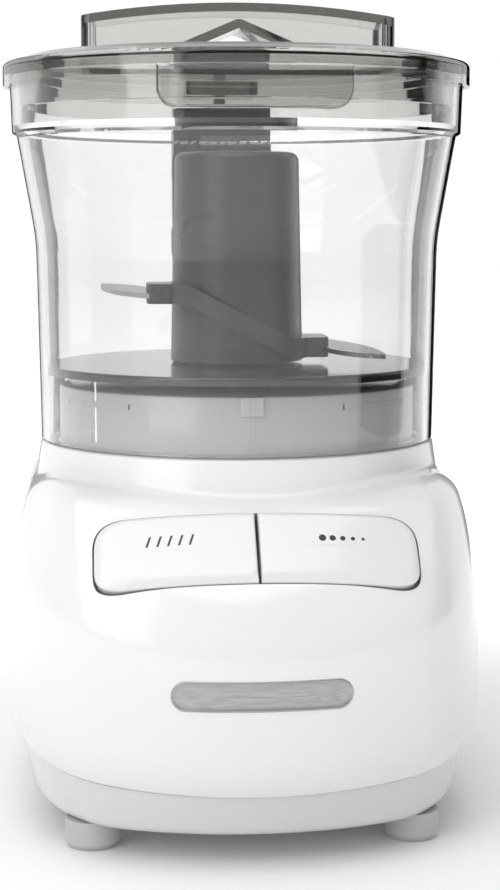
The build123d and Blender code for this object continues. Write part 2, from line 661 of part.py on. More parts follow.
def lid():
    """The lid: plate, rim over the bowl's band, ring inside it, hollow grip, and two tabs."""
    inner = BAND_RADIUS - CLEAR_WALL - 0.7
    cover = turned([
        (0, LID_PLATE), (54, LID_PLATE), (55.2, LID_EDGE), (58, LID_EDGE), (RIM_RADIUS, LID_EDGE - 2.1),
        (RIM_RADIUS, RIM_BOTTOM), (BAND_RADIUS + GAP, RIM_BOTTOM), (BAND_RADIUS + GAP, BOWL_TOP + 0.3),
        (inner, BOWL_TOP + 0.3), (inner, LID_RING_BOTTOM), (inner - 1.8, LID_RING_BOTTOM),
        (inner - 1.8, LID_PLATE - CLEAR_WALL), (0, LID_PLATE - CLEAR_WALL),
    ], [(4, 1.5)])
    cover += grip_form(0) - rod(RIM_RADIUS, 0, LID_PLATE - 1)
    cover -= grip_form(CLEAR_WALL) - tunnel_form(0)
    cover -= tunnel_form(CLEAR_WALL + 0.3)
    low, high = LID_RING_BOTTOM - 3, BOWL_TOP + 0.2
    face = rectangle((-TAB_HALF_WIDTH, TAB_HALF_WIDTH), (low, high), [(0, 5), (1, 5)])
    tab = ring(RIM_RADIUS + 2.2, BAND_RADIUS + GAP, low, high) & extrude(Plane.XZ * face, 2 * RIM_RADIUS)
    tab = fillet(tab.faces().sort_by(Axis.Y)[0].edges(), 0.9)
    cam = block((-12, 12), (RIM_RADIUS - 3, HANDLE_BACK - 1.4), (BOWL_TOP + 0.5, LID_EDGE - 2.1))
    return cover + tab + fillet(cam.edges().filter_by(Axis.Z), 2)


# ---------------------------------------------------------------- handle and interlock

def handle_form():
    """The handle's C shape, seen from the side, with its back edges rounded."""
    side = section([
        (50, HANDLE_TOP), (HANDLE_BACK, HANDLE_TOP), (HANDLE_BACK, HANDLE_BOTTOM), (HANDLE_Y, HANDLE_BOTTOM),
        (HANDLE_Y, BOWL_BOTTOM + 2), (50, BOWL_BOTTOM + 2), (50, FINGER_LOW), (HANDLE_Y, FINGER_LOW),
        (HANDLE_Y, FINGER_HIGH), (50, FINGER_HIGH),
    ], [(1, 3), (2, 3), (7, 5), (8, 6)])
    solid = extrude(Plane.YZ * side, HANDLE_HALF_WIDTH, both=True)
    half = HANDLE_HALF_WIDTH
    above = rectangle((-half, half), (40, HANDLE_BACK), [(2, 6), (3, 6)])
    return solid & extrude(above, BOWL_TOP)


def cover_form(inset):
    """The strip let into the handle's back."""
    width = COVER_HALF_WIDTH - inset
    return block((-width, width), (COVER_Y, HANDLE_BACK), (COVER_LOW + inset, COVER_HIGH - inset))


def bowl_handle():
    handle = handle_form() - bowl_outside() - cover_form(0)
    chamber = rod(CHAMBER_RADIUS, CHAMBER_LOW, CHAMBER_HIGH, 0, ROD_Y)
    chamber += block((-CHAMBER_RADIUS, CHAMBER_RADIUS), (ROD_Y, COVER_Y), (CHAMBER_LOW, CHAMBER_HIGH))
    return handle - chamber - rod(ROD_RADIUS + 0.3, HANDLE_BOTTOM - 1, HANDLE_TOP + 1, 0, ROD_Y)


def handle_cover():
    return handle_form() & cover_form(0.1)


def interlock_rod():
    """The rod that the lid holds down; it reaches the plunger in the base."""
    high = BOWL_TOP + 0.1
    collar = rod(CHAMBER_RADIUS - 0.4, COLLAR, COLLAR + 2, 0, ROD_Y)
    return rod(ROD_RADIUS, ROD_BOTTOM, high, 0, ROD_Y) + collar


def interlock_rod_spring():
    return helix_spring(3.1, 0.35, CHAMBER_LOW + 0.4, COLLAR - 0.4, 8, 0, ROD_Y)


def interlock_plunger():
    stem = rod(PLUNGER_RADIUS, SWITCH_TOP + 1.7, ROD_BOTTOM - 0.3, 0, ROD_Y)
    return stem + rod(4.0, PLUNGER_STOP - 3.8, PLUNGER_STOP - 2.3, 0, ROD_Y)


def interlock_spring():
    return helix_spring(3.2, 0.35, SPRING_SEAT + 0.4, PLUNGER_STOP - 4.2, 5, 0, ROD_Y)


def interlock_switch():
    """A small snap switch on the shelf, with its button under the plunger."""
    case = block((-10, 10), (ROD_Y - 3, ROD_Y + 3), (SHELF, SWITCH_TOP))
    terminals = [block((x - 0.3, x + 0.3), (ROD_Y - 7, ROD_Y - 3), (SHELF + 2, SHELF + 5))
                 for x in (-6, 0, 6)]
    button = rod(1.2, SWITCH_TOP - 1, SWITCH_TOP + 1.3, 0, ROD_Y)
    return case + button + terminals[0] + terminals[1] + terminals[2]


# ---------------------------------------------------------------- blades

def blade_hub():
    """The hollow hub that stands over the chimney, with a socket ring for its drive insert."""
    return turned([
        (HUB_RADIUS_LOW, HUB_BOTTOM), (HUB_RADIUS_TOP, HUB_TOP), (0, HUB_TOP), (0, HUB_TOP - CLEAR_WALL),
        (INSERT_RADIUS, HUB_TOP - CLEAR_WALL), (INSERT_RADIUS, INSERT_LOW), (INSERT_RADIUS + 2.4, INSERT_LOW),
        (INSERT_RADIUS + 2.4, HUB_TOP - CLEAR_WALL), (HUB_RADIUS_TOP - CLEAR_WALL, HUB_TOP - CLEAR_WALL),
        (HUB_RADIUS_LOW - CLEAR_WALL, HUB_BOTTOM),
    ], [(1, 2.6)])


def hub_drive_insert():
    insert = rod(INSERT_RADIUS, INSERT_LOW, HUB_TOP - CLEAR_WALL)
    hexagon = RegularPolygon(SPINDLE_RADIUS + 0.35, 6)
    socket = Pos(0, 0, INSERT_LOW - 1) * extrude(hexagon, HEX_TOP - INSERT_LOW + 1.6)
    return insert - socket


def hub_solid():
    """The hub's outer form without its hollow, for fitting the carrier to it."""
    return turned([(0, HUB_BOTTOM), (HUB_RADIUS_LOW, HUB_BOTTOM), (HUB_RADIUS_TOP, HUB_TOP), (0, HUB_TOP)])


def blade_carrier():
    """A band round the hub that drops from the upper blade's block to the lower blade's block."""
    half = CARRIER_HEIGHT / 2
    far = HUB_RADIUS_LOW + 14
    middle = [(-far, UPPER_BLADE), (-14.5, UPPER_BLADE), (14.5, LOWER_BLADE), (far, LOWER_BLADE)]
    outline = [(x, z + half) for x, z in middle] + [(x, z - half) for x, z in reversed(middle)]
    profile = extrude(Plane.XZ * section(outline), 2 * HUB_RADIUS_LOW, both=True)
    band = rod(HUB_RADIUS_LOW + 2.4, HUB_BOTTOM, HUB_TOP)
    side = rectangle((-CARRIER_REACH, CARRIER_REACH), (-8.5, 8.5), [(n, 2.5) for n in range(4)])
    carrier = profile & (band + Pos(0, 0, HUB_BOTTOM) * extrude(side, HUB_TOP - HUB_BOTTOM))
    return carrier - hub_solid() - upper_blade() - lower_blade()


def blade():
    """A sickle blade on the +X side, level with z = 0: a square root and a curved, pointed end."""
    root = ROOT_X
    edge = [
        Line((root, -7.6), (root, 7.6)),
        Line((root, 7.6), (25.6, 7.6)),
        ThreePointArc((25.6, 7.6), (36.0, -8.0), BLADE_TIP),
        ThreePointArc(BLADE_TIP, (29.8, -19.4), (23.2, -7.6)),
        Line((23.2, -7.6), (root, -7.6)),
    ]
    return Pos(0, 0, -BLADE_THICK / 2) * extrude(make_face(edge), BLADE_THICK)


def lower_blade():
    return Pos(0, 0, LOWER_BLADE + 0.2) * Rot(4, 0, 0) * blade()


def upper_blade():
    return Pos(0, 0, UPPER_BLADE - 0.2) * Rot(3, 0, 0) * Rot(0, 0, 180) * blade()


# ---------------------------------------------------------------- screws and files

def tray_screws():
    return moved_to(FOOT_PLACES, screw(TRAY_BOTTOM + 0.4, 22))


def gearbox_screws():
    return moved_to(PLATE_PLACES, screw(PLATE_BOTTOM - 2, 11))


def motor_screws():
    return moved_to(MOTOR_SCREW_PLACES, upside_down(screw(PLATE_TOP + 2, 9), PLATE_TOP + 2))


PIECES = {
    "upper_housing": upper_housing,
    "base_tray": base_tray,
    "cord_gland": cord_gland,
    "tray_screws": tray_screws,
    "gearbox_plate": gearbox_plate,
    "gearbox_screws": gearbox_screws,
    "spindle_bush_upper": lambda: spindle_bush(BUSH_LOW, PLUG_TOP - 2.2),
    "spindle_bush_lower": lambda: spindle_bush(PLATE_BOTTOM, PLATE_TOP + 2.4),
    "spindle_seal": spindle_seal,
    "motor_can": motor_can,
    "motor_end_cap": motor_end_cap,
    "motor_magnets": motor_magnets,
    "motor_bearings": motor_bearings,
    "motor_screws": motor_screws,
    "carbon_brushes": carbon_brushes,
    "motor_shaft": lambda: rod(SHAFT_RADIUS, FAN_BOTTOM - 0.6, GEAR_BOTTOM + 11, 0, MOTOR_Y),
    "armature_core": armature_core,
    "armature_windings": armature_windings,
    "commutator": commutator,
    "cooling_fan": cooling_fan,
    "pinion": pinion,
    "drive_spindle": drive_spindle,
    "drive_gear": drive_gear,
    "retaining_clips": retaining_clips,
    "circuit_board": circuit_board,
    "board_components": board_components,
    "tact_switches": tact_switches,
    "board_screws": board_screws,
    "chop_paddle": lambda: paddle(-1),
    "grind_paddle": lambda: paddle(1),
    "interlock_switch": interlock_switch,
    "interlock_spring": interlock_spring,
    "interlock_plunger": interlock_plunger,
    "interlock_rod": interlock_rod,
    "interlock_rod_spring": interlock_rod_spring,
    "work_bowl": work_bowl,
    "bowl_floor": bowl_floor,
    "bowl_handle": bowl_handle,
    "handle_cover": handle_cover,
    "blade_hub": blade_hub,
    "hub_drive_insert": hub_drive_insert,
    "blade_carrier": blade_carrier,
    "upper_blade": upper_blade,
    "lower_blade": lower_blade,
    "lid": lid,
}

os.makedirs("parts", exist_ok=True)
for node, build in PIECES.items():
    save(node, build())
for place, (x, y) in zip(("front_left", "front_right", "rear_left", "rear_right"), FOOT_PLACES):
    save(f"foot_{place}", Pos(x, y, 0) * foot())
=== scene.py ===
import json
import math

import bpy
import numpy as np
from mathutils import Matrix, Vector


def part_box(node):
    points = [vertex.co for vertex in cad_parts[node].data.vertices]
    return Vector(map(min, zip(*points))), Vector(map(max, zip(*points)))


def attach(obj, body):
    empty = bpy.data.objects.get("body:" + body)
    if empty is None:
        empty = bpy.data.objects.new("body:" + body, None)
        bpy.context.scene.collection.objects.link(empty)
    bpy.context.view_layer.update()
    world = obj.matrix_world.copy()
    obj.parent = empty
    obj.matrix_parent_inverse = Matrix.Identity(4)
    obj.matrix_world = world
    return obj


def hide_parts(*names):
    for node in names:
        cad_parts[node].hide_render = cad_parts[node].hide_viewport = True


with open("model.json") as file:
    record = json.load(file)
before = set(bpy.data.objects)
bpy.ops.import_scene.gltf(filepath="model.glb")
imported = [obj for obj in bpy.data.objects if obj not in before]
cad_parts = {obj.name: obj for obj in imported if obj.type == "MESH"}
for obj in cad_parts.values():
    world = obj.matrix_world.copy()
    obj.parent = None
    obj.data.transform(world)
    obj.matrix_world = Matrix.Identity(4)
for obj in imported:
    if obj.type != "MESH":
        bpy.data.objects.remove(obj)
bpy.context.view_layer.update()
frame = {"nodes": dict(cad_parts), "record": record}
nodes = frame["nodes"]

# Places and sizes, in metres, read from the frame. Z is the axis of the bowl and the spindle.
MM = 0.001
housing_low, housing_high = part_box("upper_housing")
HALF_WIDTH = housing_high[0]
SEAM = housing_low[2]
PLUG_TOP = housing_high[2]
TRAY_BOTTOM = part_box("base_tray")[0][2]
TURNS = 2 * math.pi


# ---------------------------------------------------------------- numbers and curves

def fillet_both(a, b, radius):
    """Distance to where two solids overlap, its edge rounded to a radius."""
    u = np.maximum(a + radius, 0)
    v = np.maximum(b + radius, 0)
    return np.minimum(np.maximum(a, b), -radius) + np.hypot(u, v)


def fillet_either(a, b, radius):
    """Distance to two solids joined, the corner between them filled to a radius."""
    u = np.maximum(radius - a, 0)
    v = np.maximum(radius - b, 0)
    return np.maximum(np.minimum(a, b), radius) - np.hypot(u, v)


def through(points, x):
    """A smooth curve through (x, y) points, evaluated at x, with no overshoot."""
    px = np.array([p[0] for p in points], float)
    py = np.array([p[1] for p in points], float)
    step = np.diff(px)
    slope = np.diff(py) / step
    product = slope[1:] * slope[:-1]
    inner = np.where(product > 0, 2 * product / (slope[1:] + slope[:-1] + 1e-12), 0)
    tangent = np.concatenate([[slope[0]], inner, [slope[-1]]])
    x = np.clip(x, px[0], px[-1])
    k = np.clip(np.searchsorted(px, x, side="right") - 1, 0, len(step) - 1)
    t = (x - px[k]) / step[k]
    h = step[k]
    return ((1 + 2 * t) * (1 - t) ** 2 * py[k] + t * (1 - t) ** 2 * h * tangent[k]
            + t ** 2 * (3 - 2 * t) * py[k + 1] - t ** 2 * (1 - t) * h * tangent[k + 1])


def rot_about_x(degrees_turned):
    return Matrix.Rotation(math.radians(degrees_turned), 4, "X")


# ---------------------------------------------------------------- the base's form, in millimetres

PLAN_ARC = 92.0  # radius of the bulged front and back
SIDE_ARC = 4000.0  # the sides are all but straight
PLAN_CORNER = 22.0
SEAM_Z = SEAM / MM
SEAM_RISE = 4.6
DECK_TILT = 47.5
DECK_CENTRE = np.array([0.0, -69.0, 80.2])
DECK_ARC = 220.0
PLATFORM = 94.0
NECK_TOP = 100.8
NECK_FOOT = 88.6
NECK_FOOT_RADIUS = 57.2
NECK_TAPER = 0.155
NECK_SLANT = 0.988  # the cosine of that taper
NECK_HIDDEN = 76  # below this the neck is inside the body
PLUG_RADIUS = 50.0
FACET_ROUND = 7.0
SHOULDER_ROUND = 7.0
NECK_EDGE_ROUND = 1.3
NECK_FOOT_ROUND = 1.2
TRAY_ROUND = 2.6
# Curves of (height, half width) and (height, reach) of the base, and what is taken off them.
WIDTHS = [(12, 64.5), (38, 64.5), (48, 64.2), (60, 63.2), (74, 61.6), (82, 60.4), (88, 58.8), (94, 56.5)]
REACHES = [(12, 84.7), (48, 84.7), (60, 84.4), (78, 83.6), (94, 81.6)]
CURL = [(0, 3.6), (1.4, 2.5), (3.4, 1.2), (6.3, 0.3), (10, 0)]  # by height above the seam
FACET_ENDS = [(0, 0), (45, 0), (50, 1.8), (55, 6.4), (60, 12.4), (64.6, 19.5)]  # by distance sideways
TRAY_WIDTHS = [(7, 56.9), (12.3, 58.1), (23, 60.4), (30, 62)]
TRAY_REACHES = [(7, 75.6), (10, 76.6), (19, 79.2), (30, 80.5)]
DECK = Matrix.Translation(Vector(DECK_CENTRE * MM)) @ rot_about_x(DECK_TILT)


def plan_distance(x, y, width, reach):
    """Distance outside the base's plan, which has bulged front and back and round corners."""
    ends = np.hypot(x, np.abs(y) + PLAN_ARC - reach) - PLAN_ARC
    sides = np.hypot(np.abs(x) + SIDE_ARC - width, y) - SIDE_ARC
    return fillet_both(ends, sides, PLAN_CORNER)


def neck_radius(z):
    """The neck's radius at a height; below the shoulder the neck stays inside the body."""
    return NECK_FOOT_RADIUS + (NECK_FOOT - np.maximum(z, NECK_HIDDEN)) * NECK_TAPER


def housing_distance(points):
    """Distance outside the upper housing, without its plug."""
    x, y, z = points[..., 0], points[..., 1], points[..., 2]
    inset = through(CURL, z - seam_height(x))
    body = plan_distance(x, y, through(WIDTHS, z) - inset, through(REACHES, z) - inset)
    tilt = math.radians(DECK_TILT)
    out = -(y - DECK_CENTRE[1]) * math.sin(tilt) + (z - DECK_CENTRE[2]) * math.cos(tilt)
    facet = np.hypot(x, out + DECK_ARC) - DECK_ARC + through(FACET_ENDS, np.abs(x))
    body = fillet_both(body, facet, FACET_ROUND)
    body = fillet_both(body, z - PLATFORM, SHOULDER_ROUND)
    cone = (np.hypot(x, y) - neck_radius(z)) * NECK_SLANT
    neck = fillet_both(cone, z - NECK_TOP, NECK_EDGE_ROUND)
    return fillet_either(body, neck, NECK_FOOT_ROUND)


def tray_distance(points):
    """Distance outside the lower tray."""
    x, y, z = points[..., 0], points[..., 1], points[..., 2]
    side = plan_distance(x, y, through(TRAY_WIDTHS, z), through(TRAY_REACHES, z))
    return fillet_both(side, TRAY_BOTTOM / MM - z, TRAY_ROUND)


def gradient(distance, points):
    """Unit outward directions of a distance function, by small steps."""
    step = 0.02
    parts = []
    for axis in range(3):
        shift = np.zeros(3)
        shift[axis] = step
        parts.append(distance(points + shift) - distance(points - shift))
    normal = np.stack(parts, axis=-1)
    return normal / np.maximum(np.linalg.norm(normal, axis=-1, keepdims=True), 1e-9)


def cast(distance, start, direction, far=130.0):
    """Where rays from inside leave the form, by halving."""
    near = np.zeros(start.shape[:-1])
    away = np.full(start.shape[:-1], far)
    for _ in range(34):
        middle = (near + away) / 2
        inside = distance(start + direction * middle[..., None]) < 0
        near = np.where(inside, middle, near)
        away = np.where(inside, away, middle)
    return start + direction * near[..., None]


def seam_height(x):
    """The height of the parting line of the base at a sideways place."""
    return SEAM_Z + SEAM_RISE * (x / (HALF_WIDTH / MM)) ** 2


# ---------------------------------------------------------------- mesh building

def new_object(name, vertices, faces):
    """A mesh object in the scene, with its faces facing outwards as they are given."""
    mesh = bpy.data.meshes.new(name)
    mesh.from_pydata([tuple(v) for v in vertices], [], faces)
    mesh.update()
    obj = bpy.data.objects.new(name, mesh)
    bpy.context.collection.objects.link(obj)
    return obj


def grid_faces(rows, columns, first=0):
    """Quads between rows of a grid that closes on itself sideways; rows rise and columns go anticlockwise."""
    quads = []
    for row in range(rows - 1):
        a, b = first + row * columns, first + (row + 1) * columns
        for col in range(columns):
            after = (col + 1) % columns
            quads.append((a + col, a + after, b + after, b + col))
    return quads


def tube_mesh(name, rings):
    """A closed skin through rings of points; the first and last ring are filled."""
    columns = len(rings[0])
    vertices = [point for ring in rings for point in ring]
    faces = grid_faces(len(rings), columns)
    faces.append(tuple(reversed(range(columns))))
    top = (len(rings) - 1) * columns
    faces.append(tuple(range(top, top + columns)))
    return new_object(name, vertices, faces)


def smooth(obj, angle=35):
    """Smooth shading with sharp edges past an angle."""
    for polygon in obj.data.polygons:
        polygon.use_smooth = True
    obj.data.set_sharp_from_angle(angle=math.radians(angle))
    return obj


def apply_modifiers(obj):
    """Keeps the result of an object's modifiers as its mesh."""
    graph = bpy.context.evaluated_depsgraph_get()
    mesh = bpy.data.meshes.new_from_object(obj.evaluated_get(graph))
    obj.modifiers.clear()
    old = obj.data
    obj.data = mesh
    bpy.data.meshes.remove(old)
    return obj


def cut(obj, tool):
    """Cuts a closed tool out of a closed object and removes the tool."""
    modifier = obj.modifiers.new("cut", "BOOLEAN")
    modifier.operation = "DIFFERENCE"
    modifier.solver = "EXACT"
    modifier.object = tool
    apply_modifiers(obj)
    bpy.data.objects.remove(tool)
    return obj


def true_normals(obj, distance, tolerance=0.05):
    """Shades the outer skin of a form by its exact normals, and the rest of the mesh as it is."""
    mesh = obj.data
    count = len(mesh.vertices)
    flat = np.empty(count * 3)
    mesh.vertices.foreach_get("co", flat)
    points = flat.reshape(count, 3) / MM
    on_skin = np.abs(distance(points)) < tolerance
    exact = gradient(distance, points)
    smooth(obj, 30)
    loops = len(mesh.loops)
    corner_vertex = np.empty(loops, int)
    mesh.loops.foreach_get("vertex_index", corner_vertex)
    corner_face = np.repeat(np.arange(len(mesh.polygons)), [p.loop_total for p in mesh.polygons])
    face_normal = np.empty(len(mesh.polygons) * 3)
    mesh.polygons.foreach_get("normal", face_normal)
    face_normal = face_normal.reshape(-1, 3)[corner_face]
    current = np.array([n.vector[:] for n in mesh.corner_normals])
    wanted = exact[corner_vertex]
    outer = on_skin[corner_vertex] & ((wanted * face_normal).sum(1) > 0.85)
    mesh.normals_split_custom_set([tuple(n) for n in np.where(outer[:, None], wanted, current)])
    return obj


def ring_angles(count):
    """Evenly spaced angles round a circle."""
    return np.arange(count) * TURNS / count


# ---------------------------------------------------------------- white base

HOUSING_COLUMNS = 384
FAN_CENTRE = 64.0  # millimetres, where the fan of rays over the shoulder starts


def housing_rings():
    """Rings of points over the housing's skin, from the parting line up over the plug."""
    angle = ring_angles(HOUSING_COLUMNS)
    across = np.stack([np.cos(angle), np.sin(angle), np.zeros_like(angle)], axis=-1)
    edge = cast(housing_distance, np.array([0, 0, SEAM_Z + 3]) + 0 * across, across)
    low = seam_height(edge[:, 0])
    rings = []
    for inset, lift in ((2.4, 0.0), (0.9, 0.0), (0.25, 0.25)):
        start = np.stack([0 * low, 0 * low, low + lift], axis=-1)
        rings.append(cast(housing_distance, start, across) - across * inset)
    for share in np.linspace(0, 1, 40) ** 1.15:
        start = np.stack([0 * low, 0 * low, low + 0.9 + (FAN_CENTRE - low - 0.9) * share], axis=-1)
        rings.append(cast(housing_distance, start, across))
    top = math.atan2(NECK_TOP - 1.4 - FAN_CENTRE, neck_radius(NECK_TOP))
    start = np.array([0, 0, FAN_CENTRE]) + 0 * across
    for rise in np.linspace(0, top, 118)[1:]:
        aim = across * math.cos(rise) + np.array([0, 0, math.sin(rise)])
        rings.append(cast(housing_distance, start, aim))
    outer = neck_radius(NECK_TOP)
    plug_top = PLUG_TOP / MM
    edge_path = [(outer - 0.15, NECK_TOP - 0.7), (outer - 0.6, NECK_TOP - 0.2), (outer - 1.4, NECK_TOP),
                 (PLUG_RADIUS + 0.6, NECK_TOP), (PLUG_RADIUS, NECK_TOP + 0.6), (PLUG_RADIUS, plug_top - 1.2),
                 (PLUG_RADIUS - 0.4, plug_top - 0.4), (PLUG_RADIUS - 1.2, plug_top), (14.0, plug_top)]
    for radius, height in edge_path:
        rings.append(across * radius + np.array([0, 0, height]))
    return [ring * MM for ring in rings]


def rounded_rectangle(half_x, low_y, high_y, radius, per_corner=10, edge=18):
    """Points round a rectangle with round corners, anticlockwise, spaced along its edges too."""
    points = []
    corners = [(half_x - radius, low_y + radius, -90), (half_x - radius, high_y - radius, 0),
               (radius - half_x, high_y - radius, 90), (radius - half_x, low_y + radius, 180)]
    for number, (x, y, start) in enumerate(corners):
        for step in range(per_corner + 1):
            angle = math.radians(start + 90 * step / per_corner)
            points.append((x + radius * math.cos(angle), y + radius * math.sin(angle)))
        following = corners[(number + 1) % 4]
        turn = math.radians(following[2])
        end = (following[0] + radius * math.cos(turn), following[1] + radius * math.sin(turn))
        last = points[-1]
        for step in range(1, edge):
            share = step / edge
            points.append((last[0] + (end[0] - last[0]) * share, last[1] + (end[1] - last[1]) * share))
    return points


def make_housing():
    obj = tube_mesh("housing_skin", housing_rings())
    cut(obj, opening_tool())
    true_normals(obj, housing_distance)
    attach(obj, "base")
    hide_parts("upper_housing")
    return obj


def tray_rings():
    angle = ring_angles(HOUSING_COLUMNS // 2)
    across = np.stack([np.cos(angle), np.sin(angle), np.zeros_like(angle)], axis=-1)
    bottom = TRAY_BOTTOM / MM
    rings = []
    for share in (0.1, 0.5, 0.86, 0.93, 0.965):
        edge = cast(tray_distance, np.array([0, 0, bottom + 0.01]) + 0 * across, across)
        rings.append(edge * np.array([share, share, 0]) + np.array([0, 0, bottom]))
    for height in (0.02, 0.1, 0.25, 0.5, 0.8, 1.2, 1.7, 2.2, 2.8, 3.6, 5, 6.5, 8):
        rings.append(cast(tray_distance, np.array([0, 0, bottom + height]) + 0 * across, across))
    edge = cast(tray_distance, np.array([0, 0, SEAM_Z]) + 0 * across, across)
    high = seam_height(edge[:, 0]) - 0.35
    for share, inset in ((0.0, 0.0), (0.5, 0.0), (0.92, 0.0), (0.98, 0.08), (1.0, 0.35), (1.0, 2.2)):
        start = np.stack([0 * high, 0 * high, bottom + 9.5 + (high - bottom - 9.5) * share], axis=-1)
        rings.append(cast(tray_distance, start, across) - across * inset)
    return [ring * MM for ring in rings]


def make_tray():
    obj = tube_mesh("tray_skin", tray_rings())
    motor_low, motor_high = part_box("motor_can")
    middle_y = (motor_low[1] + motor_high[1]) / 2
    for number in range(-4, 5):
        centre = Vector((number * 6 * MM, middle_y, TRAY_BOTTOM))
        outline = rounded_rectangle(1.5 * MM, -15 * MM, 15 * MM, 1.45 * MM, 6, 2)
        rings = [[centre + Vector((x, y, z * MM)) for x, y in outline] for z in (-1, 4)]
        cut(obj, tube_mesh("tool", rings))
    true_normals(obj, tray_distance)
    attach(obj, "base")
    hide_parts("base_tray")
    return obj


def lugs_on_plug():
    """Three bayonet lugs round the plug that the bowl's skirt turns onto."""
    turned = [math.radians(angle) for angle in (30, 150, 270)]
    return [arc_block("bayonet_lug_%d" % number, (PLUG_RADIUS - 1, PLUG_RADIUS + 1.9),
                      (PLUG_TOP / MM - 5.3, PLUG_TOP / MM - 0.1), middle, 3.4, 0.5)
            for number, middle in enumerate(turned)]


def arc_block(name, radii, heights, middle, half_angle, round_edge):
    """A closed block bent round the Z axis, with bevelled edges; the angle is half its span in degrees."""
    inner, outer = radii
    low, high = heights
    steps = 12
    span = math.radians(half_angle)
    loops = []
    for step in range(steps + 1):
        angle = middle + span * (2 * step / steps - 1)
        loops.append([Vector((r * math.cos(angle), r * math.sin(angle), z)) * MM
                      for r, z in ((inner, low), (outer, low), (outer, high), (inner, high))])
    obj = tube_mesh(name, loops)
    return bevel(obj, round_edge)


def bevel(obj, width, segments=3, angle=40):
    """Rounds the sharp edges of a mesh and shades it smooth."""
    modifier = obj.modifiers.new("round", "BEVEL")
    modifier.width = width * MM
    modifier.segments = segments
    modifier.limit_method = "ANGLE"
    modifier.angle_limit = math.radians(angle)
    modifier.use_clamp_overlap = True
    apply_modifiers(obj)
    return smooth(obj, 50)


# ---------------------------------------------------------------- paddles

PADDLE_END = 41.0
PADDLE_LOW = -10.35
PADDLE_HIGH = 10.1
PADDLE_PROUD = 1.4
PADDLE_SPLIT = 0.35  # half the gap between the two
SKIRT_DEPTH = -5.4
SPLIT_EDGE, END_EDGE, FRONT_EDGE, BACK_EDGE = 0.5, 2.4, 3.2, 1.6  # widths of the rounded top edges
END_LENGTH = 8.5  # of the curved end, along x


def end_curve(share):
    """Where the curved end of a paddle is, 0 to 1 of its length, at -1 to 1 of its height."""
    squareness = 6.0 if share < 0 else 3.4
    return max(0.0, 1 - abs(share) ** squareness) ** 0.46


def paddle_outline(near, far, low, high):
    """Points anticlockwise round the right-hand paddle."""
    middle, half = (low + high) / 2, (high - low) / 2
    root = far - END_LENGTH
    points = [(near + (root - near) * step / 30, low) for step in range(31)]
    for step in range(1, 60):
        share = -math.cos(math.pi * step / 60)
        points.append((root + (far - root) * end_curve(share), middle + half * share))
    points += [(root + (near - root) * step / 30, high) for step in range(31)]
    points += [(near, high + (low - high) * step / 12) for step in range(1, 12)]
    return points


def on_deck(x, y, z):
    """A point given square to the curved facet, in metres."""
    drop = DECK_ARC - math.sqrt(DECK_ARC ** 2 - x * x)
    return DECK @ Vector((x * MM, y * MM, (z - drop) * MM))


def make_paddle(side, name, node, body):
    """A rocker paddle with a wide soft edge at the front and tighter edges at the back and the split."""
    levels = [(SKIRT_DEPTH, 0, 0.4), (-1.2, 0, 0.2), (-0.4, 0, 0.05)]
    levels += [(PADDLE_PROUD * math.sin(turn), 1 - math.cos(turn), 0)
               for turn in np.linspace(0, math.pi / 2, 10)]
    rings = []
    for z, soft, inset in levels:
        outline = paddle_outline(PADDLE_SPLIT + SPLIT_EDGE * soft, PADDLE_END - inset - END_EDGE * soft,
                                 PADDLE_LOW + inset + FRONT_EDGE * soft,
                                 PADDLE_HIGH - inset - BACK_EDGE * soft)
        rings.append([(x, y, z) for x, y in outline])
    spine_low, spine_high = PADDLE_SPLIT + 9, PADDLE_END - 12
    for share in (0.25, 0.5, 0.75, 0.97):
        rings.append([(x + (min(max(x, spine_low), spine_high) - x) * share, y * (1 - share), PADDLE_PROUD)
                      for x, y, z in rings[12]])
    if side < 0:
        rings = [[(-x, y, z) for x, y, z in reversed(ring)] for ring in rings]
    obj = tube_mesh(name, [[on_deck(*point) for point in ring] for ring in rings])
    smooth(obj, 40)
    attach(obj, body)
    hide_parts(node)
    obj.data.materials.append(white_plastic(name, 0.76))
    return obj


def opening_tool():
    """The paddles' opening: it follows their outline, and its front edge is undercut for their swing."""
    levels = [(-7, -11.1, 0.5), (-1.4, -11.1, 0.5), (-0.1, -10.68, 0.4), (8, -10.68, 0.4), (14, -10.68, 0.4)]
    rings = []
    for z, low, gap in levels:
        right = paddle_outline(0, PADDLE_END + gap, low, PADDLE_HIGH + 0.35)
        right = [point for point in right[:-11] if point[0] > 0]
        left = [(-x, y) for x, y in reversed(right)]
        rings.append([on_deck(x, y, z) for x, y in right + left])
    return tube_mesh("tool", rings)


def printed_mark(name, body, strokes):
    """Thin printed strokes just above a paddle's top; each stroke is a closed outline in facet millimetres."""
    vertices, faces = [], []
    for stroke in strokes:
        count = len(stroke)
        first = len(vertices)
        for height in (PADDLE_PROUD - 0.05, PADDLE_PROUD + 0.04):
            vertices += [on_deck(x, y, height) for x, y in stroke]
        faces.append(tuple(first + n for n in reversed(range(count))))
        faces.append(tuple(first + count + n for n in range(count)))
        faces += [(first + n, first + (n + 1) % count, first + count + (n + 1) % count, first + count + n)
                  for n in range(count)]
    obj = new_object(name, vertices, faces)
    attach(obj, body)
    obj.data.materials.append(ink())
    return obj


def slanted_stroke(x, y, half_length, half_width, lean):
    return [(x - half_width - lean, y - half_length), (x + half_width - lean, y - half_length),
            (x + half_width + lean, y + half_length), (x - half_width + lean, y + half_length)]


def round_dot(x, y, radius):
    return [(x + radius * math.cos(TURNS * n / 24), y + radius * math.sin(TURNS * n / 24)) for n in range(24)]


def chop_mark():
    """Five slanted cuts, for the chopping side."""
    return [slanted_stroke(-22 + 2.7 * n, 2.2, 1.5, 0.28, 0.5) for n in range(-2, 3)]


def grind_mark():
    """A row of grains that get smaller, for the grinding side."""
    return [round_dot(16.4 + 2.6 * n, 2.2, 0.95 - 0.13 * n) for n in range(5)]


# ---------------------------------------------------------------- nameplate

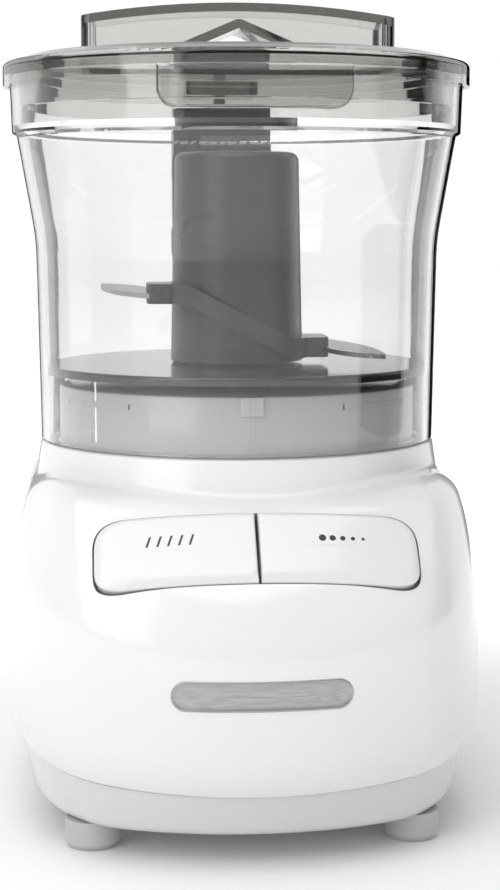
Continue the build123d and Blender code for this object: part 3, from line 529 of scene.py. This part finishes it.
PLATE_Z = 45.9
PLATE_HALF_LENGTH = 22.6
PLATE_HALF_HEIGHT = 3.8


def on_front(x, z, lift):
    """A point on the housing's front, lifted off it, in metres."""
    start = np.array([[x, -40.0, z]])
    point = cast(housing_distance, start, np.array([[0.0, -1.0, 0.0]]))
    normal = gradient(housing_distance, point)
    return Vector((point + normal * lift)[0]) * MM


def pill(half_length, half_height, count=20):
    """Points anticlockwise round a long oval with round ends, as seen from the front."""
    points = []
    straight_steps = 16
    for centre, start in ((half_length - half_height, -90), (half_height - half_length, 90)):
        for step in range(count + 1):
            angle = math.radians(start + 180 * step / count)
            points.append((centre + half_height * math.cos(angle), half_height * math.sin(angle)))
        edge = half_height if start < 0 else -half_height
        points += [(centre * (1 - 2 * step / straight_steps), edge) for step in range(1, straight_steps)]
    return points


def make_nameplate():
    """A blank oval plate let into the front, with a raised rim."""
    rim = [(0, -0.3), (0, 0.12), (0.12, 0.22), (0.5, 0.24), (0.62, 0.14), (0.75, 0.1)]
    flat = [(1.8, 0.1), (2.8, 0.1), (3.75, 0.1)]
    rings = []
    for inset, lift in rim + flat:
        outline = pill(PLATE_HALF_LENGTH - inset, PLATE_HALF_HEIGHT - inset)
        rings.append([on_front(x, PLATE_Z + z, lift) for x, z in outline])
    obj = tube_mesh("nameplate", rings)
    smooth(obj, 60)
    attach(obj, "base")
    obj.data.materials.append(brushed_metal("plate_metal", 0.42, (0.3, 0.4)))
    return obj


# ---------------------------------------------------------------- materials

def principled(name, colour, **settings):
    """A material with one shader; settings are socket names with spaces written as underscores."""
    material = bpy.data.materials.new(name)
    material.use_nodes = True
    shader = material.node_tree.nodes["Principled BSDF"]
    shader.inputs["Base Color"].default_value = (*colour, 1)
    for key, value in settings.items():
        shader.inputs[key.replace("_", " ")].default_value = value
    return material, material.node_tree, shader


def noise(tree, scale, detail=3, stretch=(1, 1, 1)):
    """A noise texture in the piece's own coordinates, optionally stretched."""
    coords = tree.nodes.new("ShaderNodeTexCoord")
    mapping = tree.nodes.new("ShaderNodeMapping")
    mapping.inputs["Scale"].default_value = stretch
    texture = tree.nodes.new("ShaderNodeTexNoise")
    texture.inputs["Scale"].default_value = scale
    texture.inputs["Detail"].default_value = detail
    tree.links.new(coords.outputs["Object"], mapping.inputs["Vector"])
    tree.links.new(mapping.outputs["Vector"], texture.inputs["Vector"])
    return texture.outputs["Fac"]


def spread(tree, value, low, high):
    """Maps a noise to a range of values."""
    node = tree.nodes.new("ShaderNodeMapRange")
    node.inputs["From Min"].default_value = 0.3
    node.inputs["From Max"].default_value = 0.7
    node.inputs["To Min"].default_value = low
    node.inputs["To Max"].default_value = high
    tree.links.new(value, node.inputs["Value"])
    return node.outputs[0]


def vary_colour(tree, shader, value, first, second):
    mix = tree.nodes.new("ShaderNodeMix")
    mix.data_type = "RGBA"
    mix.inputs["A"].default_value = (*first, 1)
    mix.inputs["B"].default_value = (*second, 1)
    tree.links.new(value, mix.inputs["Factor"])
    tree.links.new(mix.outputs["Result"], shader.inputs["Base Color"])


def bump(tree, shader, value, distance, strength=1.0):
    node = tree.nodes.new("ShaderNodeBump")
    node.inputs["Distance"].default_value = distance
    node.inputs["Strength"].default_value = strength
    tree.links.new(value, node.inputs["Height"])
    tree.links.new(node.outputs["Normal"], shader.inputs["Normal"])


def white_plastic(name, tone=0.80, rough=(0.16, 0.24)):
    """Glossy white moulding: a faint flow mottle in its colour and gloss, and a slight orange peel."""
    material, tree, shader = principled(name, (tone, tone, tone), Coat_Weight=0.35, Coat_Roughness=0.06)
    cloud = noise(tree, 26, 4)
    vary_colour(tree, shader, spread(tree, cloud, 0, 1), (tone, tone * 1.002, tone * 1.004),
                (tone * 0.985, tone * 0.988, tone * 0.99))
    tree.links.new(spread(tree, noise(tree, 60, 2), *rough), shader.inputs["Roughness"])
    bump(tree, shader, noise(tree, 900, 2), 0.000012, 0.5)
    return material


def dark_plastic(name, tone=0.045, rough=(0.26, 0.36)):
    """Satin dark grey moulding with faint flow lines and a fine grain."""
    material, tree, shader = principled(name, (tone, tone, tone), Coat_Weight=0.15, Coat_Roughness=0.2)
    flow = noise(tree, 30, 4, (1, 1, 0.35))
    vary_colour(tree, shader, spread(tree, flow, 0, 1), (tone, tone * 1.04, tone * 1.04),
                (tone * 1.18, tone * 1.22, tone * 1.22))
    tree.links.new(spread(tree, noise(tree, 90, 3), *rough), shader.inputs["Roughness"])
    bump(tree, shader, noise(tree, 1400, 2), 0.00001, 0.5)
    return material


def clear_plastic(name, tint, density, rough=(0.01, 0.03)):
    """Clear moulding: a grey tint that deepens along its edges, slight waviness and a little haze."""
    material, tree, shader = principled(name, tint, Transmission_Weight=1.0, IOR=1.5)
    tree.links.new(spread(tree, noise(tree, 40, 3), *rough), shader.inputs["Roughness"])
    bump(tree, shader, noise(tree, 45, 2, (1, 1, 0.5)), 0.00012, 0.2)
    inside = tree.nodes.new("ShaderNodeVolumeAbsorption")
    inside.inputs["Color"].default_value = (0.40, 0.40, 0.37, 1)
    inside.inputs["Density"].default_value = density
    tree.links.new(inside.outputs[0], tree.nodes["Material Output"].inputs["Volume"])
    return material


# Painted light on the floor: emission strength near the object and far from it.
FLOOR_GLOW_NEAR = 0.02
FLOOR_GLOW_FAR = 0.45


def floor_material():
    """Pale matt studio floor with painted light: an emission, weak near the object and stronger away from it,
    stands in for the light on a lit sweep.
    """
    material, tree, shader = principled("floor", (0.9, 0.9, 0.9), Roughness=0.8)
    vary_colour(tree, shader, spread(tree, noise(tree, 3, 2), 0, 1), (0.90, 0.90, 0.90), (0.89, 0.89, 0.895))
    # Painted light: the emission grows with distance from the object, so the floor round the object stays
    # darker.
    coords = tree.nodes.new("ShaderNodeTexCoord")
    length = tree.nodes.new("ShaderNodeVectorMath")
    length.operation = "LENGTH"
    ramp = tree.nodes.new("ShaderNodeMapRange")
    ramp.interpolation_type = "SMOOTHSTEP"
    ramp.inputs["From Min"].default_value = 0.10
    ramp.inputs["From Max"].default_value = 0.32
    ramp.inputs["To Min"].default_value = FLOOR_GLOW_NEAR
    ramp.inputs["To Max"].default_value = FLOOR_GLOW_FAR
    tree.links.new(coords.outputs["Object"], length.inputs[0])
    tree.links.new(length.outputs["Value"], ramp.inputs["Value"])
    tree.links.new(ramp.outputs[0], shader.inputs["Emission Strength"])
    shader.inputs["Emission Color"].default_value = (1, 1, 1, 1)
    return material




def brushed_metal(name, tone, rough=(0.25, 0.38), stretch=(1, 14, 14)):
    """Metal with fine directional brushing."""
    material, tree, shader = principled(name, (tone, tone, tone), Metallic=1.0)
    lines = noise(tree, 120, 3, stretch)
    vary_colour(tree, shader, spread(tree, lines, 0, 1), (tone,) * 3, (tone * 0.84, tone * 0.84, tone * 0.85))
    tree.links.new(spread(tree, lines, *rough), shader.inputs["Roughness"])
    bump(tree, shader, lines, 0.00002, 0.5)
    return material


def coloured_metal(name, first, second, rough=(0.28, 0.42), scale=70):
    """Turned or wound metal with patches of two tones."""
    material, tree, shader = principled(name, first, Metallic=1.0)
    patch = noise(tree, scale, 4)
    vary_colour(tree, shader, spread(tree, patch, 0, 1), first, second)
    tree.links.new(spread(tree, noise(tree, scale * 3, 2), *rough), shader.inputs["Roughness"])
    bump(tree, shader, noise(tree, scale * 12, 2), 0.00001, 0.4)
    return material


def matt(name, first, second, rough=(0.5, 0.65), scale=60, depth=0.00002):
    """Matt rubber, nylon, ferrite or board with a fine grain."""
    material, tree, shader = principled(name, first)
    vary_colour(tree, shader, spread(tree, noise(tree, scale, 4), 0, 1), first, second)
    tree.links.new(spread(tree, noise(tree, scale * 2, 2), *rough), shader.inputs["Roughness"])
    bump(tree, shader, noise(tree, scale * 14, 3), depth, 0.6)
    return material


def ink():
    """Printed grey ink, slightly uneven."""
    return matt("ink", (0.02, 0.022, 0.024), (0.035, 0.037, 0.04), (0.35, 0.5), 300, 0.000005)


FINISHES = {
    "housing_plastic": lambda name: white_plastic(name),
    "tray_plastic": lambda name: white_plastic(name, 0.68),
    "paddle_plastic": lambda name: white_plastic(name, 0.68),
    "clear_bowl": lambda name: clear_plastic(name, (1.0, 1.0, 0.995), 38),
    "clear_lid": lambda name: clear_plastic(name, (1.0, 1.0, 0.99), 150),
    "dark_grey_plastic": lambda name: dark_plastic(name, 0.028),
    "floor_plastic": lambda name: dark_plastic(name, 0.022, (0.06, 0.1)),
    "carrier_plastic": lambda name: dark_plastic(name, 0.05),
    "blade_steel": lambda name: brushed_metal(name, 0.42),
    "turned_steel": lambda name: brushed_metal(name, 0.62, (0.2, 0.3), (6, 6, 60)),
    "spring_steel": lambda name: brushed_metal(name, 0.5, (0.25, 0.4)),
    "zinc_screw": lambda name: coloured_metal(name, (0.62, 0.61, 0.58), (0.5, 0.5, 0.48)),
    "can_steel": lambda name: coloured_metal(name, (0.5, 0.51, 0.5), (0.42, 0.42, 0.42)),
    "magnet_ferrite": lambda name: matt(name, (0.03, 0.03, 0.032), (0.05, 0.05, 0.055)),
    "core_steel": lambda name: coloured_metal(name, (0.2, 0.2, 0.21), (0.12, 0.12, 0.125)),
    "copper_winding": lambda name: coloured_metal(name, (0.62, 0.26, 0.1), (0.5, 0.18, 0.07)),
    "copper_bars": lambda name: coloured_metal(name, (0.72, 0.42, 0.24), (0.6, 0.32, 0.18)),
    "carbon": lambda name: matt(name, (0.02, 0.02, 0.02), (0.035, 0.035, 0.035)),
    "bronze": lambda name: coloured_metal(name, (0.5, 0.33, 0.16), (0.38, 0.25, 0.12)),
    "acetal": lambda name: matt(name, (0.72, 0.7, 0.65), (0.66, 0.64, 0.6), (0.35, 0.5)),
    "black_plastic": lambda name: dark_plastic(name, 0.015, (0.4, 0.5)),
    "plate_plastic": lambda name: matt(name, (0.04, 0.04, 0.042), (0.06, 0.06, 0.062)),
    "board_green": lambda name: matt(name, (0.01, 0.08, 0.03), (0.015, 0.1, 0.045), (0.25, 0.35), 90),
    "seal_rubber": lambda name: matt(name, (0.015, 0.015, 0.015), (0.025, 0.025, 0.025), (0.55, 0.7)),
    "foot_rubber": lambda name: matt(name, (0.56, 0.56, 0.55), (0.5, 0.5, 0.49), (0.45, 0.6)),
}


def dress_nodes():
    """Gives every carried-over CAD node the finish of its material slot."""
    finish = {}
    for part in frame["record"]["subparts"]:
        slot = part["material_slot"]
        if slot not in finish:
            finish[slot] = FINISHES[slot](slot)
        mesh = nodes[part["node"]].data
        mesh.materials.clear()
        mesh.materials.append(finish[slot])
    return finish


# ---------------------------------------------------------------- stage, camera and light

CAMERA_PLACE = Vector((-41.24, -536.43, 165.0)) * MM
CAMERA_YAW = 4.8
CAMERA_DOWN = 7.15
CAMERA_LENS = 76.85
WORLD_SIDE = 0.62
WORLD_BACK = 1.28


def add_camera():
    data = bpy.data.cameras.new("camera")
    data.sensor_width = 36
    data.lens = CAMERA_LENS
    data.clip_start = 0.01
    camera = bpy.data.objects.new("camera", data)
    bpy.context.collection.objects.link(camera)
    camera.location = CAMERA_PLACE
    camera.rotation_euler = (math.radians(90 - CAMERA_DOWN), 0, math.radians(-CAMERA_YAW))
    bpy.context.scene.camera = camera


def add_floor():
    floor = new_object("floor", [(x, y, 0) for x, y in ((-6, -6), (6, -6), (6, 6), (-6, 6))], [(0, 1, 2, 3)])
    floor.data.materials.append(floor_material())


def add_softbox(name, place, aim, width, height, power, colour=(1, 1, 1)):
    """A rectangular light that faces a point."""
    data = bpy.data.lights.new(name, "AREA")
    data.shape = "RECTANGLE"
    data.size, data.size_y = width, height
    data.energy = power
    data.color = colour
    light = bpy.data.objects.new(name, data)
    bpy.context.collection.objects.link(light)
    light.location = place
    light.rotation_euler = (Vector(aim) - Vector(place)).to_track_quat("-Z", "Y").to_euler()
    light.visible_camera = False
    return light


def add_card(name, place, aim, width, height, shade):
    """A card beside the object that only reflections and clear plastic see."""
    corners = [(x * width / 2, y * height / 2, 0) for x, y in ((-1, -1), (1, -1), (1, 1), (-1, 1))]
    card = new_object(name, corners, [(0, 1, 2, 3)])
    card.location = place
    card.rotation_euler = (Vector(aim) - Vector(place)).to_track_quat("-Z", "Y").to_euler()
    material = bpy.data.materials.new(name)
    material.use_nodes = True
    tree = material.node_tree
    tree.nodes.clear()
    glow = tree.nodes.new("ShaderNodeEmission")
    glow.inputs["Color"].default_value = (shade, shade, shade, 1)
    out = tree.nodes.new("ShaderNodeOutputMaterial")
    tree.links.new(glow.outputs[0], out.inputs[0])
    card.data.materials.append(material)
    card.visible_camera = False
    card.visible_diffuse = False
    card.visible_shadow = False
    return card


def add_world():
    """A pale studio: white behind the object, greyer towards the sides and the camera."""
    world = bpy.data.worlds.new("studio")
    bpy.context.scene.world = world
    world.use_nodes = True
    tree = world.node_tree
    tree.nodes.clear()
    coords = tree.nodes.new("ShaderNodeTexCoord")
    split = tree.nodes.new("ShaderNodeSeparateXYZ")
    ramp = tree.nodes.new("ShaderNodeMapRange")
    ramp.interpolation_type = "SMOOTHSTEP"
    ramp.inputs["From Min"].default_value = 0.2
    ramp.inputs["From Max"].default_value = 0.8
    ramp.inputs["To Min"].default_value = WORLD_SIDE
    ramp.inputs["To Max"].default_value = WORLD_BACK
    sky = tree.nodes.new("ShaderNodeBackground")
    out = tree.nodes.new("ShaderNodeOutputWorld")
    tree.links.new(coords.outputs["Generated"], split.inputs[0])
    tree.links.new(split.outputs["Y"], ramp.inputs["Value"])
    tree.links.new(ramp.outputs[0], sky.inputs["Strength"])
    tree.links.new(sky.outputs[0], out.inputs[0])


def light_studio():
    """Two softboxes, and dark cards that give the clear plastic its dark edges."""
    add_world()
    middle = (0, 0, 0.1)
    add_softbox("key", (-0.9, -0.9, 0.75), middle, 0.8, 1.2, 6)
    add_softbox("top", (-0.15, -0.25, 1.3), middle, 1.1, 1.1, 8)
    add_card("dark_right", (0.235, 0.42, 0.2), middle, 0.14, 0.7, 0.005)
    add_card("dark_side", (0.75, -0.05, 0.2), middle, 0.5, 0.7, 0.03)
    add_card("dark_left", (-0.155, 0.52, 0.2), middle, 0.07, 0.7, 0.01)


# ---------------------------------------------------------------- put together

finish = dress_nodes()
housing = make_housing()
housing.data.materials.append(finish["housing_plastic"])
tray = make_tray()
tray.data.materials.append(finish["tray_plastic"])
for lug in lugs_on_plug():
    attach(lug, "base")
    lug.data.materials.append(finish["housing_plastic"])
make_paddle(-1, "chop_paddle_skin", "chop_paddle", "chop_button")
make_paddle(1, "grind_paddle_skin", "grind_paddle", "grind_button")
printed_mark("chop_mark", "chop_button", chop_mark())
printed_mark("grind_mark", "grind_button", grind_mark())
make_nameplate()
add_floor()
add_camera()
light_studio()
scene = bpy.context.scene
scene.view_settings.view_transform = "Standard"
